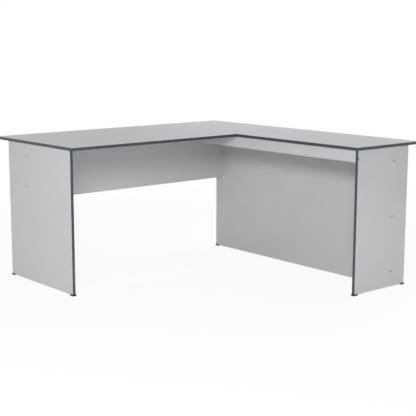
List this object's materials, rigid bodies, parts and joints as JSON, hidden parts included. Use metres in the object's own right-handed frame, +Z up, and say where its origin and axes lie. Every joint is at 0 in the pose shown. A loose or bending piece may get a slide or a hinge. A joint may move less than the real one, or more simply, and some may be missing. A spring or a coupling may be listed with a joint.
{
  "type": "l-shaped office desk",
  "caption": "L-shaped office desk: grey board worktop with dark edging on two end panels, a modesty panel, a full-height return panel and a front rail, on low black shoes.",
  "frame": {"origin": "on the floor, under the middle of the worktop's outer rectangle", "axes": "+X along the main wing towards the corner, +Y towards the back edge, +Z up"},
  "size_m": [1.56, 1.62, 0.75],
  "materials": {
    "grey_board": "light grey melamine-faced chipboard, fine satin grain",
    "dark_edging": "dark blue-grey plastic edging, satin",
    "grey_edging": "light grey plastic edging, satin",
    "black_shoe": "black moulded plastic",
    "cap_grey": "mid grey moulded plastic",
    "zinc_steel": "zinc-plated steel",
    "cast_zinc": "die-cast zinc",
    "beech": "raw beech"
  },
  "bodies": {
    "root": {"worktop_board": "grey_board", "worktop_inner_edging": "dark_edging", "worktop_left_edging": "dark_edging", "worktop_back_edging": "dark_edging", "worktop_right_edging": "dark_edging", "worktop_return_end_edging": "dark_edging", "left_end_panel": "grey_board", "left_panel_front_edging": "dark_edging", "left_panel_back_edging": "grey_edging", "right_end_panel": "grey_board", "right_panel_front_edging": "dark_edging", "right_panel_back_edging": "grey_edging", "return_panel": "grey_board", "return_panel_end_edging": "grey_edging", "modesty_panel": "grey_board", "modesty_panel_bottom_edging": "grey_edging", "front_rail": "grey_board", "front_rail_bottom_edging": "grey_edging", "left_front_shoe": "black_shoe", "left_back_shoe": "black_shoe", "right_front_shoe": "black_shoe", "right_back_shoe": "black_shoe", "corner_shoe": "black_shoe", "shoe_screws": "zinc_steel", "left_end_screws": "zinc_steel", "left_end_caps": "cap_grey", "right_end_screws": "zinc_steel", "right_end_caps": "cap_grey", "corner_screws": "zinc_steel", "corner_caps": "cap_grey", "left_end_panel_cams": "cast_zinc", "left_end_panel_bolts": "zinc_steel", "left_end_panel_dowels": "beech", "right_end_panel_cams": "cast_zinc", "right_end_panel_bolts": "zinc_steel", "right_end_panel_dowels": "beech", "return_panel_cams": "cast_zinc", "return_panel_bolts": "zinc_steel", "return_panel_dowels": "beech", "modesty_panel_dowels": "beech", "front_rail_dowels": "beech"}
  },
  "joints": []
}
